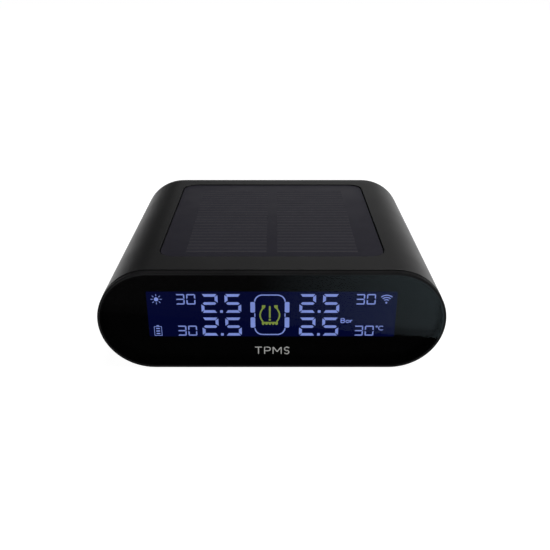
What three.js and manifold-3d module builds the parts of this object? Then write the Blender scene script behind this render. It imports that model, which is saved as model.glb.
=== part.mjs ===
// Solar tyre pressure monitor for a dashboard: a stadium-section case with a display window in
// front, a solar panel let into its top, a charging port and a power button at the back, and a
// sticky pad underneath. Millimetres. X is width, +Y runs from the display to the back, Z is up,
// and the origin is the centre of the pad's lower face.
import * as THREE from "three";
import { mergeVertices } from "three/addons/utils/BufferGeometryUtils.js";
import Module from "manifold-3d";

const wasm = await Module();
wasm.setup();

// ---- Driving dimensions ----
const WIDTH = 80;
const DEPTH = 74;
const CASE_HEIGHT = 24.8;
const PROUD = 0.4; // how far the pad and the button each stand out of the case
const WALL = 1.8;
const GAP = 0.05; // between faces that rest on each other
const FIT = 0.35; // between the pad and the recess it sits in
const PANEL_FIT = 0.25; // between the solar panel and its recess
const ARC_STEPS = 20; // facets on each round end of the case

const HALF_W = WIDTH / 2;
const HALF_H = CASE_HEIGHT / 2;
const MID_Z = PROUD + HALF_H;
const TOP_Z = PROUD + CASE_HEIGHT;
const FACE_Y = -DEPTH / 2;
const FRONT_Y = FACE_Y + 1.85; // the case stops behind the plate of the front window
const REAR_Y = DEPTH / 2 - PROUD;
const INNER_REAR_Y = REAR_Y - WALL;

// Rounding of the back edge: how far it reaches forward, in from the sides, and in from the top.
const REAR_ROUND = { side: 11.8, sideReach: 5.6, height: 4.9, heightReach: 7.1 };
const INNER_ROUND = { side: 10, sideReach: 3.8, height: 3.1, heightReach: 5.3 };
const ROUND_STEPS = 8;

const FRONT_EDGE = 0.15;

// Front window stack, from the lens back to the ledge that it is bonded to. The lens is a plate
// as large as the case, with a smaller step behind it that plugs into the case's rim.
const RIM = 0.45;
const LENS_GAP = 0.12;
const LEDGE_Y = FRONT_Y + 1.15;
const LENS = { thick: 2, plate: 1.35, inset: 0.05, bevel: 0.25 };
const MASK_THICK = 0.2;
const GASKET_WIDTH = 1.1;

// Display: the lit area, and the layers behind it.
const VIEW = { w: 57, h: 11.8, z: 13.7 };
const LCD = { w: 60.4, h: 14.2, ledge: 0.5 };
const LCD_LAYERS = { film: 0.2, glass: 0.55, guide: 1.5, reflector: 0.15 };
const FRAME = { w: 64.4, h: 16.4, back: 1, ears: 5 };

// Solar panel and the recess in the top of the case.
const RECESS = { w: 53.6, l: 54.4, r: 4, y: -0.8, sunk: 0.2 };
const BOSS = { sides: 3.4, front: 1, rear: 1.6 }; // how far the recess's walls reach past it
const CELL = { w: 19.1, l: 46.4, gap: 2.6, thick: 0.25, y: -2.2 };
const PANEL_LAYERS = { cover: 0.3, backing: 1, tape: 0.2 };
const POCKET_FLOOR = 1.3;
const WIRE_HOLE = { x: 15, y: 11, w: 6, l: 6 };

// Pad, tray, battery and main board.
const PAD = { w: 50, l: 54, r: 6, recess: 0.6, y: -2 };
const FLOOR_Z = PROUD + 2.4;
const TRAY = { z: FLOOR_Z + 0.2, thick: 1.2, w: 58, front: -29.95, rear: 31 };
const BULKHEAD = { thick: 1.5, w: 75.2, h: 17.4 };
const POST = { x: 21, y: 21, r: 2.5, hole: 0.9 };
const BATTERY = { w: 34, l: 50, h: 4.3, y: 1 };
const BOARD = { w: 54, front: -26.9, rear: 33.6, thick: 1.2, z: 9.4 };
const BOARD_TOP = BOARD.z + BOARD.thick;
const NOTCH = { x: -16, w: 7, l: 2.9 }; // in the board's front edge, for the battery's leads
const SCREW_HOLE = { clearance: 1.15, sink: 2.1, sinkDepth: 0.95 }; // for screws that pass through
const SCREWS = {
  case: { length: 4.4, shank: 0.85, head: 1.9, headThick: 0.9, countersunk: true },
  board: { length: 3.6, shank: 0.85, head: 1.7, headThick: 1.1, countersunk: false },
  display: { length: 3, shank: 0.85, head: 1.7, headThick: 1.1, countersunk: false },
};

// Parts soldered to the board: place of the centre, then width, length and height.
const CHIPS = {
  mcu_chip: { at: [-5, -6], size: [10, 10, 1.4] },
  motion_sensor: { at: [-14, -8], size: [3, 3, 1] },
  charger_chip: { at: [-13, 13], size: [4, 4, 1] },
  charge_inductor: { at: [-12, 21], size: [5, 5, 2.6] },
  crystal: { at: [-5, 3], size: [5, 3.2, 1.2], metal: true },
  radio_chip: { at: [15, -9], size: [6, 6, 0.9] },
};
const SHIELD = { x: 15, y: -9, w: 15, l: 14, h: 2.6, wall: 0.3 };
const BUZZER = { x: 13, y: 23, r: 5.5, h: 5.2, mouth: 1.2 };
const CAPACITOR = { x: 2, y: 14, r: 3.15, h: 5.6, mouth: 2.6 };
const ANTENNA = { x: -22.6, y: -13, z: 14.2, r: 2.3, turns: 8, pitch: 2.5, wire: 0.4 };
const SOCKET = { w: 6, l: 4.4, h: 3.2, wall: 0.6, plugOut: 0.9 };
const SOLAR_SOCKET_Y = 3;
const BATTERY_SOCKET_Y = -19;
const LEAD = { r: 0.4, apart: 1.6 };

// Back wall: charging port, power button and sound holes.
const USB = { w: 7.5, h: 2.45, wall: 0.3, l: 5.1, mouth: REAR_Y - 0.6, clearance: 0.6 };
const TONGUE = { w: 3.9, thick: 0.6, up: 0.75, back: 0.6 };
const BUTTON = { x: -16, z: 12.2, w: 9, h: 4.6, travel: 0.3, clearance: 0.25 };
const FLANGE = { thick: 0.7, sides: 1.2, ends: 0.5, rod: 1.1 }; // keeps the button in the case
const SWITCH = { w: 6, l: 3.6, h: 3.4, plunger: 1.2, out: 1.4, y: 27.6 };
const SOUND_HOLES = { x: 16, z: 12.2, r: 0.6, pitch: 3, count: 3 };

// ---- Materials ----
const finish = (color, roughness, metalness = 0) =>
  new THREE.MeshStandardMaterial({ color, roughness, metalness });
const MAT = {
  case: finish(0x1c1c1e, 0.42),
  lens: finish(0x0a0c10, 0.04),
  ink: finish(0x020203, 0.3),
  foam: finish(0x111111, 0.95),
  polarizer: finish(0x0c1030, 0.2),
  glass: finish(0x9fb0c8, 0.05),
  guide: finish(0xdfe6ee, 0.1),
  white: finish(0xe8e8e4, 0.6),
  tray: finish(0x2a2b2e, 0.6),
  panel: finish(0x2e2d33, 0.25),
  cell: finish(0x1c1c2a, 0.3),
  board: finish(0x11452c, 0.45),
  chip: finish(0x18181a, 0.55),
  steel: finish(0xb9bcc0, 0.3, 1),
  copper: finish(0xb87333, 0.35, 1),
  foil: finish(0xc6c9cc, 0.38, 0.9),
  red: finish(0xb01818, 0.5),
  black: finish(0x101010, 0.5),
  amber: finish(0xc08a2a, 0.4),
  rubber: finish(0x26262a, 0.9),
  key: finish(0x222224, 0.5),
};

// ---- Solids ----
function toSolid(geometry) {
  const bare = geometry.index ? geometry.toNonIndexed() : geometry.clone();
  bare.deleteAttribute("normal");
  bare.deleteAttribute("uv");
  const merged = mergeVertices(bare, 1e-4);
  return new wasm.Manifold(
    new wasm.Mesh({
      numProp: 3,
      vertProperties: merged.attributes.position.array,
      triVerts: new Uint32Array(merged.index.array),
    }),
  );
}

function toGeometry(solid) {
  const mesh = solid.getMesh();
  return new THREE.BufferGeometry()
    .setAttribute("position", new THREE.BufferAttribute(mesh.vertProperties, 3))
    .setIndex(new THREE.BufferAttribute(mesh.triVerts, 1));
}

const cut = (first, ...others) =>
  others.reduce((solid, tool) => solid.subtract(tool), first);
const join = (first, ...others) =>
  others.reduce((solid, piece) => solid.add(piece), first);

function box([x0, x1], [y0, y1], [z0, z1]) {
  const geometry = new THREE.BoxGeometry(x1 - x0, y1 - y0, z1 - z0);
  geometry.translate((x0 + x1) / 2, (y0 + y1) / 2, (z0 + z1) / 2);
  return toSolid(geometry);
}

const around = (centre, size) => [centre - size / 2, centre + size / 2];

function roundedShape(w, h, r) {
  const shape = new THREE.Shape();
  const x = w / 2 - r;
  const y = h / 2 - r;
  shape.absarc(x, -y, r, -Math.PI / 2, 0);
  shape.absarc(x, y, r, 0, Math.PI / 2);
  shape.absarc(-x, y, r, Math.PI / 2, Math.PI);
  shape.absarc(-x, -y, r, Math.PI, 1.5 * Math.PI);
  return shape;
}

// A rounded rectangle lying flat, or standing up and facing along Y.
function slab(w, l, r, [x, y], [z0, z1], curveSegments = 6) {
  const geometry = new THREE.ExtrudeGeometry(roundedShape(w, l, r), {
    depth: z1 - z0,
    bevelEnabled: false,
    curveSegments,
  });
  geometry.translate(x, y, z0);
  return toSolid(geometry);
}

function upright(w, h, r, [x, z], [y0, y1], curveSegments = 6) {
  const geometry = new THREE.ExtrudeGeometry(roundedShape(w, h, r), {
    depth: y1 - y0,
    bevelEnabled: false,
    curveSegments,
  });
  geometry.rotateX(Math.PI / 2);
  geometry.translate(x, y1, z);
  return toSolid(geometry);
}

const stadium = (halfW, halfH, span, z = MID_Z) =>
  upright(2 * halfW, 2 * halfH, halfH - 1e-3, [0, z], span, ARC_STEPS / 2);

function rod(r, [x, y], [z0, z1], sides = 16) {
  const geometry = new THREE.CylinderGeometry(r, r, z1 - z0, sides);
  geometry.rotateX(Math.PI / 2);
  geometry.translate(x, y, (z0 + z1) / 2);
  return toSolid(geometry);
}

function rodAlongY(r, [x, z], [y0, y1], sides = 16) {
  const geometry = new THREE.CylinderGeometry(r, r, y1 - y0, sides);
  geometry.translate(x, (y0 + y1) / 2, z);
  return toSolid(geometry);
}

// One stadium outline at a station along Y, as points going round it.
function stadiumRing(halfW, halfH, y) {
  const points = [];
  for (const side of [1, -1]) {
    for (let i = 0; i <= ARC_STEPS; i++) {
      const angle = side * (-Math.PI / 2) + (i / ARC_STEPS) * Math.PI;
      const x = side * (halfW - halfH) + halfH * Math.cos(angle);
      points.push(new THREE.Vector3(x, y, MID_Z + halfH * Math.sin(angle)));
    }
  }
  return points;
}

// A closed solid through stadium outlines that follow each other from front to back.
function loft(sections) {
  const rings = sections.map(([halfW, halfH, y]) => stadiumRing(halfW, halfH, y));
  const count = rings[0].length;
  const positions = rings.flat().flatMap((p) => p.toArray());
  const faces = [];
  for (let s = 0; s < rings.length - 1; s++) {
    for (let i = 0; i < count; i++) {
      const a = s * count + i;
      const b = s * count + ((i + 1) % count);
      faces.push(a, b + count, b, a, a + count, b + count);
    }
  }
  const last = (rings.length - 1) * count;
  for (let i = 1; i < count - 1; i++) {
    faces.push(0, i, i + 1);
    faces.push(last, last + i + 1, last + i);
  }
  const geometry = new THREE.BufferGeometry()
    .setAttribute("position", new THREE.Float32BufferAttribute(positions, 3))
    .setIndex(faces);
  return toSolid(geometry);
}

// Sections of a back whose edge is an elliptic round, given by its depth and its reach along Y.
function roundedBack(halfW, halfH, rear, round) {
  const inset = (depth, reach, fromRear) =>
    depth * (1 - Math.sqrt(1 - Math.max(0, 1 - fromRear / reach) ** 2));
  const longest = Math.max(round.sideReach, round.heightReach);
  return Array.from({ length: ROUND_STEPS + 1 }, (_, i) => {
    const fromRear = longest * (1 - Math.sin((i / ROUND_STEPS) * (Math.PI / 2)));
    return [
      halfW - inset(round.side, round.sideReach, fromRear),
      halfH - inset(round.height, round.heightReach, fromRear),
      rear - fromRear,
    ];
  });
}

function tube(points, r, steps, sides = 3) {
  const section = new THREE.Shape();
  section.absarc(0, 0, r, 0, 2 * Math.PI);
  const path = new THREE.CatmullRomCurve3(points.map((p) => new THREE.Vector3(...p)));
  return toSolid(
    new THREE.ExtrudeGeometry(section, {
      steps,
      bevelEnabled: false,
      curveSegments: sides,
      extrudePath: path,
    }),
  );
}

// A cross-head screw standing on its tip at z = 0, with the head upwards.
function screw({ length, shank, head, headThick, countersunk }) {
  const under = countersunk ? shank : head;
  const profile = [
    [0, 0],
    [shank * 0.5, 0],
    [shank, shank],
    [shank, length],
    [under, length],
    [head, length + headThick * (countersunk ? 0.8 : 0.5)],
    [countersunk ? head : head * 0.75, length + headThick],
    [0, length + headThick],
  ].map(([r, z]) => new THREE.Vector2(r, z));
  const geometry = new THREE.LatheGeometry(profile, 14);
  geometry.rotateX(Math.PI / 2);
  const recess = [around(0, head * 0.9), around(0, head * 0.22)];
  const depth = [length + headThick * 0.5, length + headThick + 1];
  return cut(
    toSolid(geometry),
    box(recess[0], recess[1], depth),
    box(recess[1], recess[0], depth),
  );
}

const root = new THREE.Group();

function add(name, solid, material) {
  const mesh = new THREE.Mesh(toGeometry(solid), material.clone());
  mesh.name = name;
  root.add(mesh);
}

const CORNERS = [
  [-1, -1],
  [1, -1],
  [1, 1],
  [-1, 1],
];

// ---- Case ----
const recessTop = TOP_Z - RECESS.sunk;
const panelThick =
  PANEL_LAYERS.cover + CELL.thick + PANEL_LAYERS.backing + PANEL_LAYERS.tape + 4 * GAP;
const pocketZ = recessTop - panelThick;
const padFaceZ = PROUD + PAD.recess;

function makeCase() {
  const outer = loft([
    [HALF_W - FRONT_EDGE, HALF_H - FRONT_EDGE, FRONT_Y],
    [HALF_W, HALF_H, FRONT_Y + FRONT_EDGE],
    ...roundedBack(HALF_W, HALF_H, REAR_Y, REAR_ROUND),
  ]);
  const cavity = loft([
    [HALF_W - WALL, HALF_H - WALL, FRONT_Y - 1],
    ...roundedBack(HALF_W - WALL, HALF_H - WALL, INNER_REAR_Y, INNER_ROUND),
  ]);
  const rebate = stadium(HALF_W - RIM, HALF_H - RIM, [FRONT_Y - 1, LEDGE_Y]);
  const pocketBoss = box(
    around(0, RECESS.w + BOSS.sides),
    [RECESS.y - RECESS.l / 2 - BOSS.front, RECESS.y + RECESS.l / 2 + BOSS.rear],
    [pocketZ - POCKET_FLOOR, TOP_Z - WALL + 0.1],
  );
  const floorPlate = box(
    around(0, PAD.w + 3),
    around(PAD.y, PAD.l + 3),
    [PROUD + WALL - 0.1, FLOOR_Z],
  );
  const pocket = slab(RECESS.w, RECESS.l, RECESS.r, [0, RECESS.y], [pocketZ, TOP_Z + 1]);
  const wireHole = slab(
    WIRE_HOLE.w,
    WIRE_HOLE.l,
    1,
    [WIRE_HOLE.x, WIRE_HOLE.y],
    [pocketZ - POCKET_FLOOR - 1, pocketZ + 1],
    3,
  );
  const padRecess = slab(PAD.w, PAD.l, PAD.r, [0, PAD.y], [-1, padFaceZ]);
  const screwHoles = CORNERS.map(([sx, sy]) =>
    rod(SCREW_HOLE.clearance, [sx * POST.x, sy * POST.y], [0, FLOOR_Z + 1]),
  );
  const sinks = CORNERS.map(([sx, sy]) =>
    rod(SCREW_HOLE.sink, [sx * POST.x, sy * POST.y], [0, padFaceZ + SCREW_HOLE.sinkDepth]),
  );
  const wallSpan = [INNER_REAR_Y - 2, REAR_Y + 1];
  const portZ = BOARD_TOP + GAP + USB.h / 2;
  const usbHole = upright(
    USB.w + 2 * USB.clearance,
    USB.h + 2 * USB.clearance,
    1.2,
    [0, portZ],
    wallSpan,
  );
  const buttonHole = upright(
    BUTTON.w + 2 * BUTTON.clearance,
    BUTTON.h + 2 * BUTTON.clearance,
    BUTTON.h / 2 + BUTTON.clearance - 0.01,
    [BUTTON.x, BUTTON.z],
    wallSpan,
  );
  const soundHoles = Array.from({ length: SOUND_HOLES.count }, (_, i) =>
    rodAlongY(
      SOUND_HOLES.r,
      [SOUND_HOLES.x + (i - (SOUND_HOLES.count - 1) / 2) * SOUND_HOLES.pitch, SOUND_HOLES.z],
      wallSpan,
      12,
    ),
  );
  const shell = join(cut(outer, cavity, rebate), pocketBoss, floorPlate);
  return cut(
    shell,
    pocket,
    wireHole,
    padRecess,
    ...screwHoles,
    ...sinks,
    usbHole,
    buttonHole,
    ...soundHoles,
  );
}
add("housing", makeCase(), MAT.case);

// ---- Front window ----
const plateHalfW = HALF_W - LENS.inset;
const plateHalfH = HALF_H - LENS.inset;
const lensHalfW = HALF_W - RIM - LENS_GAP;
const lensHalfH = HALF_H - RIM - LENS_GAP;
const lensBack = FACE_Y + LENS.thick;
const maskFront = lensBack + GAP;
const maskBack = maskFront + MASK_THICK;
add(
  "front_lens",
  loft([
    [plateHalfW - LENS.bevel, plateHalfH - LENS.bevel, FACE_Y],
    [plateHalfW, plateHalfH, FACE_Y + LENS.bevel],
    [plateHalfW, plateHalfH, FACE_Y + LENS.plate],
    [lensHalfW, lensHalfH, FACE_Y + LENS.plate],
    [lensHalfW, lensHalfH, lensBack],
  ]),
  MAT.lens,
);
add(
  "lens_mask",
  cut(
    stadium(lensHalfW - 0.1, lensHalfH - 0.1, [maskFront, maskBack]),
    upright(VIEW.w, VIEW.h, 0.3, [0, VIEW.z], [maskFront - 1, maskBack + 1], 2),
  ),
  MAT.ink,
);
add(
  "lens_gasket",
  cut(
    stadium(lensHalfW, lensHalfH, [maskBack + GAP, LEDGE_Y - GAP]),
    stadium(lensHalfW - GASKET_WIDTH, lensHalfH - GASKET_WIDTH, [FACE_Y, LEDGE_Y + 1]),
  ),
  MAT.foam,
);

// ---- Display ----
let layerY = maskBack + GAP;
function displayLayer(name, thick, material, w = LCD.w, h = LCD.h, z = VIEW.z) {
  const span = [layerY, layerY + thick];
  add(name, upright(w, h, 0.3, [0, z], span, 2), material);
  layerY = span[1] + GAP;
  return span;
}
displayLayer("lcd_front_polarizer", LCD_LAYERS.film, MAT.polarizer, LCD.w - 1, LCD.h - 1);
displayLayer("lcd_front_glass", LCD_LAYERS.glass, MAT.glass);
const rearGlass = displayLayer(
  "lcd_rear_glass",
  LCD_LAYERS.glass,
  MAT.glass,
  LCD.w,
  LCD.h + LCD.ledge,
  VIEW.z - LCD.ledge / 2,
);
displayLayer("lcd_rear_polarizer", LCD_LAYERS.film, MAT.polarizer, LCD.w - 1, LCD.h - 1);
displayLayer("diffuser_sheet", LCD_LAYERS.film, MAT.white, LCD.w - 1, LCD.h - 1);
const guide = displayLayer("light_guide", LCD_LAYERS.guide, MAT.guide, LCD.w - 3, LCD.h - 1);
displayLayer("reflector_sheet", LCD_LAYERS.reflector, MAT.white, LCD.w - 3, LCD.h - 1);

const frameFront = maskBack + 6 * GAP;
const frameBack = layerY + FRAME.back;
const earX = FRAME.w / 2 + FRAME.ears / 2 - 0.3;
const ear = { thick: 1.4, h: 6, screwX: earX + 0.3 };
const earSpan = [frameBack - ear.thick, frameBack];
const displayHoles = [-1, 1].map((side) =>
  rodAlongY(POST.hole, [side * ear.screwX, MID_Z], [frameFront, TRAY.front + 3]),
);
add(
  "display_frame",
  cut(
    join(
      upright(FRAME.w, FRAME.h, 3, [0, VIEW.z - 0.3], [frameFront, frameBack]),
      ...[-1, 1].map((side) =>
        upright(FRAME.ears + 0.6, ear.h, 1.5, [side * earX, MID_Z], earSpan),
      ),
    ),
    upright(LCD.w + 0.5, LCD.h + 1.1, 0.4, [0, VIEW.z - 0.25], [frameFront - 1, layerY], 2),
    box(around(0, 21), [frameFront - 1, rearGlass[0] + 0.8], [0, VIEW.z - LCD.h / 2]),
    ...displayHoles,
  ),
  MAT.white,
);

// The strip of lamps that lights the guide from its left end.
const stripX = -(LCD.w / 2) - 0.05;
const lampX = -(LCD.w - 3) / 2 - 0.2;
add(
  "backlight_board",
  box([stripX, stripX + 0.4], guide, around(VIEW.z, LCD.h - 2)),
  MAT.board,
);
[-1, 1].forEach((side, i) => {
  add(
    `backlight_led_${i + 1}`,
    box(
      [stripX + 0.45, lampX],
      [guide[0] + 0.2, guide[1] - 0.2],
      around(VIEW.z + side * 3.2, 3),
    ),
    MAT.amber,
  );
});

const FLEX_W = 18;

// Ribbon from the ledge of the rear glass, under the frame and up to the main board.
function makeFlex() {
  const thick = 0.25;
  const downY = rearGlass[0] - GAP - thick / 2;
  const upY = BOARD.front - 0.55;
  const lowZ = TRAY.z + TRAY.thick + 0.45;
  const route = new THREE.CatmullRomCurve3(
    [
      [downY, VIEW.z - LCD.h / 2 - 0.15],
      [downY, lowZ + 1.2],
      [downY + 0.45, lowZ + 0.3],
      [downY + 1.4, lowZ],
      [upY - 1.2, lowZ],
      [upY - 0.3, lowZ + 0.4],
      [upY, lowZ + 1.3],
      [upY, BOARD_TOP + 0.3],
      [upY + 0.35, BOARD_TOP + 1.1],
      [upY + 1.2, BOARD_TOP + 1.3],
      [BOARD.front + 0.9, BOARD_TOP + 1.3],
    ].map(([y, z]) => new THREE.Vector3(0, y, z)),
    false,
    "centripetal",
  );
  const strip = new THREE.Shape();
  strip.moveTo(-FLEX_W / 2, -thick / 2);
  strip.lineTo(FLEX_W / 2, -thick / 2);
  strip.lineTo(FLEX_W / 2, thick / 2);
  strip.lineTo(-FLEX_W / 2, thick / 2);
  const geometry = new THREE.ExtrudeGeometry(strip, {
    steps: 30,
    bevelEnabled: false,
    extrudePath: route,
  });
  return toSolid(geometry);
}
add("lcd_flex", makeFlex(), MAT.amber);

function makeFlexSocket() {
  const w = 21;
  const y = [BOARD.front + 1, BOARD.front + 4];
  return box(around(0, w), y, [BOARD_TOP + GAP, BOARD_TOP + 2.2]);
}
add("lcd_connector", makeFlexSocket(), MAT.white);

// ---- Tray ----
const trayTop = TRAY.z + TRAY.thick;
const postTop = BOARD.z - GAP;
const bulkheadSpan = [TRAY.front, TRAY.front + BULKHEAD.thick];

function makeTray() {
  const floor = slab(
    TRAY.w,
    TRAY.rear - TRAY.front,
    2,
    [0, (TRAY.rear + TRAY.front) / 2],
    [TRAY.z, trayTop],
    4,
  );
  const bulkhead = stadium(BULKHEAD.w / 2, BULKHEAD.h / 2, bulkheadSpan);
  const flexWindow = box(around(0, 22), [TRAY.front - 1, bulkheadSpan[1] + 1], [trayTop, 7.4]);
  const posts = CORNERS.map(([sx, sy]) =>
    rod(POST.r, [sx * POST.x, sy * POST.y], [TRAY.z, postTop]),
  );
  const holes = CORNERS.map(([sx, sy]) =>
    rod(POST.hole, [sx * POST.x, sy * POST.y], [0, postTop + 1]),
  );
  const rails = [-1, 1].map((side) =>
    box(
      around(side * (BATTERY.w / 2 + 0.9), 1),
      around(BATTERY.y, BATTERY.l - 6),
      [TRAY.z, trayTop + 3],
    ),
  );
  const stop = box(around(0, 20), around(BATTERY.y + BATTERY.l / 2 + 0.9, 1), [TRAY.z, trayTop + 3]);
  return cut(
    join(floor, bulkhead, ...posts, ...rails, stop),
    flexWindow,
    ...holes,
    ...displayHoles,
  );
}
add("chassis_tray", makeTray(), MAT.tray);

// ---- Screws ----
function place(solid, { at, tilt = 0 }) {
  const geometry = toGeometry(solid);
  geometry.rotateX(tilt);
  geometry.translate(...at);
  return toSolid(geometry);
}

CORNERS.forEach(([sx, sy], i) => {
  const x = sx * POST.x;
  const y = sy * POST.y;
  const caseTip = padFaceZ + GAP + SCREWS.case.length + SCREWS.case.headThick;
  const caseScrew = place(screw(SCREWS.case), { at: [x, y, caseTip], tilt: Math.PI });
  add(`case_screw_${i + 1}`, caseScrew, MAT.steel);
  const boardTip = BOARD_TOP + GAP - SCREWS.board.length;
  add(`board_screw_${i + 1}`, place(screw(SCREWS.board), { at: [x, y, boardTip] }), MAT.steel);
});
[-1, 1].forEach((side, i) => {
  const at = [side * ear.screwX, earSpan[0] - GAP + SCREWS.display.length, MID_Z];
  const displayScrew = place(screw(SCREWS.display), { at, tilt: Math.PI / 2 });
  add(`display_screw_${i + 1}`, displayScrew, MAT.steel);
});

// ---- Battery ----
const tapeZ = trayTop + GAP;
const cellZ = tapeZ + 0.2 + GAP;
add(
  "battery_tape",
  slab(BATTERY.w - 6, BATTERY.l - 10, 1, [0, BATTERY.y], [tapeZ, tapeZ + 0.2], 2),
  MAT.white,
);
add(
  "battery_cell",
  slab(BATTERY.w, BATTERY.l, 2, [0, BATTERY.y], [cellZ, cellZ + BATTERY.h], 5),
  MAT.foil,
);

// ---- Main board ----
add(
  "main_board",
  cut(
    slab(
      BOARD.w,
      BOARD.rear - BOARD.front,
      1.5,
      [0, (BOARD.front + BOARD.rear) / 2],
      [BOARD.z, BOARD_TOP],
      4,
    ),
    ...CORNERS.map(([sx, sy]) =>
      rod(SCREW_HOLE.clearance, [sx * POST.x, sy * POST.y], [0, TOP_Z]),
    ),
    box(around(NOTCH.x, NOTCH.w), [BOARD.front - 1, BOARD.front + NOTCH.l], [0, TOP_Z]),
  ),
  MAT.board,
);

const boardFloor = BOARD_TOP + GAP;
const onBoard = (height) => [boardFloor, boardFloor + height];
for (const [name, { at, size, metal }] of Object.entries(CHIPS)) {
  const solid = box(around(at[0], size[0]), around(at[1], size[1]), onBoard(size[2]));
  add(name, solid, metal ? MAT.steel : MAT.chip);
}

add(
  "shield_can",
  cut(
    box(around(SHIELD.x, SHIELD.w), around(SHIELD.y, SHIELD.l), onBoard(SHIELD.h)),
    box(
      around(SHIELD.x, SHIELD.w - 2 * SHIELD.wall),
      around(SHIELD.y, SHIELD.l - 2 * SHIELD.wall),
      [BOARD_TOP - 1, boardFloor + SHIELD.h - SHIELD.wall],
    ),
  ),
  MAT.steel,
);

// A round part that stands on the board, with a shallow opening in its top.
function can({ x: atX, y: atY, r, h, mouth }) {
  const profile = [
    [0, 0],
    [r, 0],
    [r, h],
    [mouth, h],
    [mouth, h - 1],
    [0, h - 1],
  ].map(([x, z]) => new THREE.Vector2(x, z));
  const geometry = new THREE.LatheGeometry(profile, 20);
  geometry.rotateX(Math.PI / 2);
  geometry.translate(atX, atY, boardFloor);
  return toSolid(geometry);
}
add("buzzer", can(BUZZER), MAT.chip);
add("storage_capacitor", can(CAPACITOR), MAT.foil);

// Coiled antenna lying along the left edge, its tail going down to the board.
class CoilRoute extends THREE.Curve {
  getPoint(t, target = new THREE.Vector3()) {
    const tail = 0.06;
    const lowest = ANTENNA.z - ANTENNA.r;
    if (t < tail) {
      const foot = boardFloor + ANTENNA.wire;
      const drop = (tail - t) / tail;
      return target.set(ANTENNA.x, ANTENNA.y, lowest - drop * (lowest - foot));
    }
    const turn = ((t - tail) / (1 - tail)) * ANTENNA.turns;
    const angle = turn * 2 * Math.PI - Math.PI / 2;
    return target.set(
      ANTENNA.x + ANTENNA.r * Math.cos(angle),
      ANTENNA.y + turn * ANTENNA.pitch,
      ANTENNA.z + ANTENNA.r * Math.sin(angle),
    );
  }
}
function makeAntenna() {
  const section = new THREE.Shape();
  section.absarc(0, 0, ANTENNA.wire, 0, 2 * Math.PI);
  return toSolid(
    new THREE.ExtrudeGeometry(section, {
      steps: 76,
      bevelEnabled: false,
      curveSegments: 3,
      extrudePath: new CoilRoute(),
    }),
  );
}
add("antenna_coil", makeAntenna(), MAT.copper);

// ---- Charging port ----
const usbZ = onBoard(USB.h);
const usbSpan = [USB.mouth - USB.l, USB.mouth];
add(
  "usb_socket_shell",
  cut(
    box(around(0, USB.w), usbSpan, usbZ),
    box(
      around(0, USB.w - 2 * USB.wall),
      [usbSpan[0] + USB.wall, usbSpan[1] + 1],
      [usbZ[0] + USB.wall, usbZ[1] - USB.wall],
    ),
  ),
  MAT.steel,
);
add(
  "usb_socket_tongue",
  box(
    around(0, TONGUE.w),
    [usbSpan[0] + USB.wall + GAP, usbSpan[1] - TONGUE.back],
    [usbZ[0] + USB.wall + TONGUE.up, usbZ[0] + USB.wall + TONGUE.up + TONGUE.thick],
  ),
  MAT.chip,
);

// ---- Power button ----
const switchSpan = [SWITCH.y, SWITCH.y + SWITCH.l];
const plungerTip = switchSpan[1] + SWITCH.out;
add(
  "switch_body",
  cut(
    box(around(BUTTON.x, SWITCH.w), switchSpan, onBoard(SWITCH.h)),
    rodAlongY(SWITCH.plunger + 0.05, [BUTTON.x, BUTTON.z], [switchSpan[1] - 1.1, switchSpan[1] + 1]),
  ),
  MAT.steel,
);
add(
  "switch_plunger",
  rodAlongY(SWITCH.plunger, [BUTTON.x, BUTTON.z], [switchSpan[1] - 0.6, plungerTip]),
  MAT.chip,
);
function makeButton() {
  const back = INNER_REAR_Y - 0.1;
  const at = [BUTTON.x, BUTTON.z];
  const r = BUTTON.h / 2 - 0.01;
  const cap = upright(BUTTON.w, BUTTON.h, r, at, [back - 0.1, DEPTH / 2], 8);
  const flange = upright(
    BUTTON.w + 2 * FLANGE.sides,
    BUTTON.h + 2 * FLANGE.ends,
    r,
    at,
    [back - FLANGE.thick, back],
    6,
  );
  return join(cap, flange, rodAlongY(FLANGE.rod, at, [plungerTip + GAP, back]));
}
add("power_button", makeButton(), MAT.key);

// ---- Solar panel ----
let stackZ = pocketZ + GAP;
function panelLayer(name, thick, inset, material) {
  const span = [stackZ, stackZ + thick];
  const w = RECESS.w - 2 * PANEL_FIT - 2 * inset;
  const l = RECESS.l - 2 * PANEL_FIT - 2 * inset;
  const r = RECESS.r - PANEL_FIT - Math.min(inset, 1);
  const solid = slab(w, l, r, [0, RECESS.y], span);
  stackZ = span[1] + GAP;
  return { name, solid, material };
}
const tape = panelLayer("solar_tape", PANEL_LAYERS.tape, 1, MAT.white);
const tapeHole = box(around(0, 40), around(RECESS.y, 44), [0, TOP_Z]);
add(tape.name, cut(tape.solid, tapeHole), tape.material);
const backing = panelLayer("solar_backing", PANEL_LAYERS.backing, 0, MAT.board);
add(backing.name, backing.solid, backing.material);
[-1, 1].forEach((side) => {
  const x = side * (CELL.gap / 2 + CELL.w / 2);
  add(
    side < 0 ? "solar_cell_left" : "solar_cell_right",
    box(around(x, CELL.w), around(CELL.y, CELL.l), [stackZ, stackZ + CELL.thick]),
    MAT.cell,
  );
});
stackZ += CELL.thick + GAP;
const cover = panelLayer("solar_cover", PANEL_LAYERS.cover, 0, MAT.panel);
add(cover.name, cover.solid, cover.material);

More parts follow.
